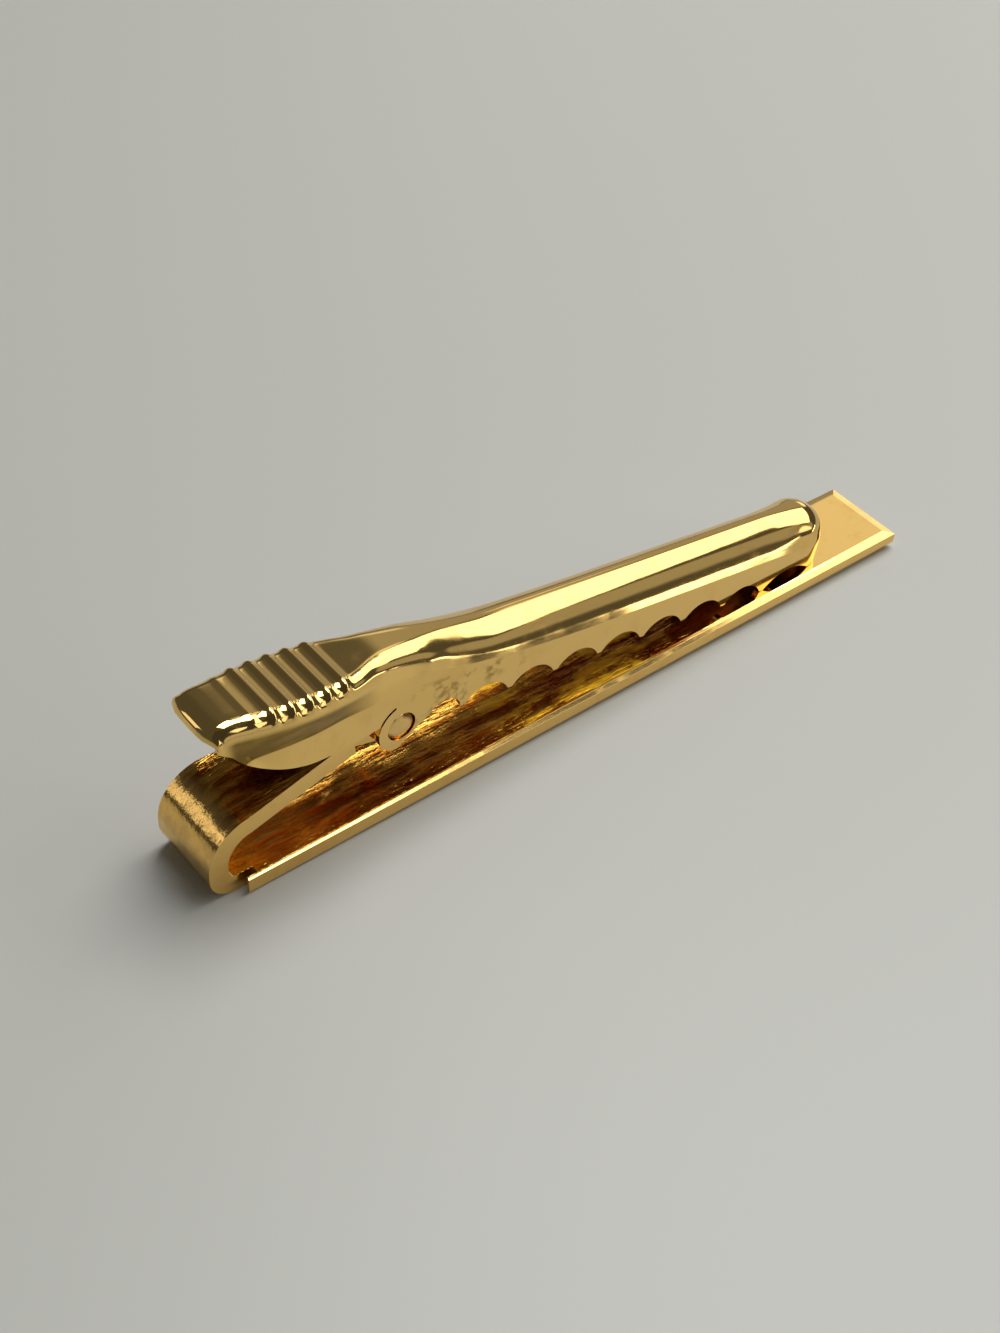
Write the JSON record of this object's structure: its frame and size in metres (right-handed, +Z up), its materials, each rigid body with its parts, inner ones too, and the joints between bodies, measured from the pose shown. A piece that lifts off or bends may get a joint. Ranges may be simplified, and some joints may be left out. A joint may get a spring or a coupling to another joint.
{
  "type": "tie clip",
  "caption": "Gilt tie clip lying on the face of its tapered bar, which folds back as a tail that carries a pivoted, spring-shut jaw with toothed edges and a ridged finger press.",
  "frame": {"origin": "under the middle of the clip's length and width, on the face that the bar lies on", "axes": "+X from the folded end to the bar's free end, +Y across the bar, +Z up from the bar to the jaw"},
  "size_m": [0.0572, 0.007, 0.0126],
  "materials": {
    "bar_gilt": "polished gilt",
    "jaw_gilt": "polished gilt",
    "pin_gilt": "polished gilt",
    "spring_steel": "plain spring steel"
  },
  "bodies": {
    "bar": {"front_bar": "bar_gilt", "pivot_pin": "pin_gilt", "leaf_spring": "spring_steel"},
    "lever": {"jaw": "jaw_gilt"}
  },
  "joints": [
    {"name": "jaw_hinge", "type": "hinge", "parent": "bar", "child": "lever", "pos_m": [-0.01452, 0, 0.00585], "axis": [0, -1, 0], "range_deg": [0, 12], "stiffness_Nm_per_rad": 0.07, "springref_deg": -24.64, "deforming": ["leaf_spring"]}
  ]
}
